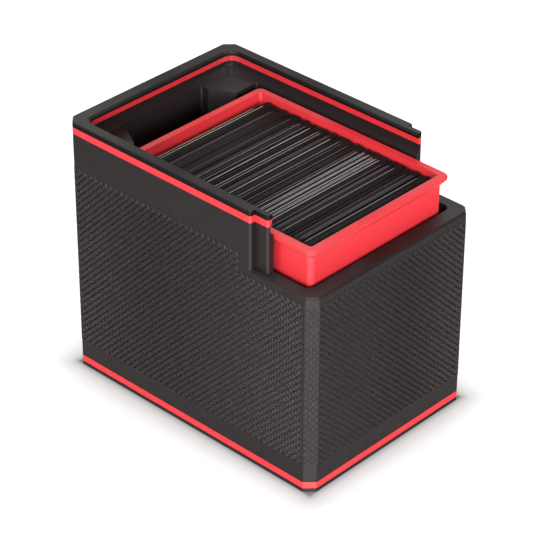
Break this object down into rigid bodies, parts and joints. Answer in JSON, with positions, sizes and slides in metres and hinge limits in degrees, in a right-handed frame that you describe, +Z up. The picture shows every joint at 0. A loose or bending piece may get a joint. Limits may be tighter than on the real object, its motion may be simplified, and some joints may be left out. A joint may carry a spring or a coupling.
{
  "type": "card deck box",
  "caption": "Stepped card deck box with textured walls and inlaid stripes, holding a lift-out tray of sleeved cards standing on edge, with a dice well behind the tray.",
  "frame": {"origin": "middle of the box's footprint, on the surface it stands on", "axes": "+Z up, +X across the box's width, +Y along its length from the low front end to the tall rear end"},
  "size_m": [0.085, 0.1226, 0.1072],
  "materials": {
    "shell_black": "satin, fine layered print texture",
    "stripe_red": "satin",
    "tray_red": "satin",
    "card_sleeve": "smooth film over card",
    "card_stock": "uncoated card edge"
  },
  "bodies": {
    "box": {"base_plate": "shell_black", "lower_stripe": "stripe_red", "body_shell": "shell_black", "upper_stripe": "stripe_red", "top_rim": "shell_black"},
    "tray": {"card_tray": "tray_red"},
    "cards_1": {"card_stack_01": "card_sleeve", "card_stack_02": "card_sleeve", "card_stack_03": "card_sleeve", "card_stack_04": "card_sleeve", "card_stack_05": "card_sleeve", "card_stack_06": "card_sleeve"},
    "cards_2": {"card_stack_07": "card_sleeve", "card_stack_08": "card_sleeve", "card_stack_09": "card_sleeve", "card_stack_10": "card_sleeve", "card_stack_11": "card_sleeve", "card_stack_12": "card_sleeve"},
    "cards_3": {"card_stack_13": "card_sleeve", "card_stack_14": "card_sleeve", "card_stack_15": "card_sleeve", "card_stack_16": "card_sleeve", "card_stack_17": "card_sleeve", "card_stack_18": "card_sleeve"},
    "cards_4": {"card_stack_19": "card_sleeve", "card_stack_20": "card_sleeve", "card_stack_21": "card_sleeve", "card_stack_22": "card_sleeve", "card_stack_23": "card_sleeve", "card_stack_24": "card_sleeve"},
    "cards_5": {"card_stack_25": "card_sleeve", "card_stack_26": "card_sleeve", "card_stack_27": "card_sleeve", "card_stack_28": "card_sleeve", "card_stack_29": "card_sleeve", "card_stack_30": "card_sleeve"},
    "cards_6": {"card_stack_31": "card_sleeve", "card_stack_32": "card_sleeve", "card_stack_33": "card_sleeve", "card_stack_34": "card_sleeve", "card_stack_35": "card_sleeve", "card_stack_36": "card_sleeve"},
    "bare_card": {"bare_card": "card_stock"}
  },
  "joints": [
    {"name": "tray_lift", "type": "slide", "parent": "box", "child": "tray", "axis": [0, 0, 1], "range_m": [0, 0.108]},
    {"name": "cards_1_lift", "type": "slide", "parent": "tray", "child": "cards_1", "axis": [0, 0, 1], "range_m": [0, 0.096]},
    {"name": "cards_2_lift", "type": "slide", "parent": "tray", "child": "cards_2", "axis": [0, 0, 1], "range_m": [0, 0.096]},
    {"name": "cards_3_lift", "type": "slide", "parent": "tray", "child": "cards_3", "axis": [0, 0, 1], "range_m": [0, 0.096]},
    {"name": "cards_4_lift", "type": "slide", "parent": "tray", "child": "cards_4", "axis": [0, 0, 1], "range_m": [0, 0.096]},
    {"name": "cards_5_lift", "type": "slide", "parent": "tray", "child": "cards_5", "axis": [0, 0, 1], "range_m": [0, 0.096]},
    {"name": "cards_6_lift", "type": "slide", "parent": "tray", "child": "cards_6", "axis": [0, 0, 1], "range_m": [0, 0.096]},
    {"name": "bare_card_lift", "type": "slide", "parent": "tray", "child": "bare_card", "axis": [0, 0, 1], "range_m": [0, 0.096]}
  ]
}
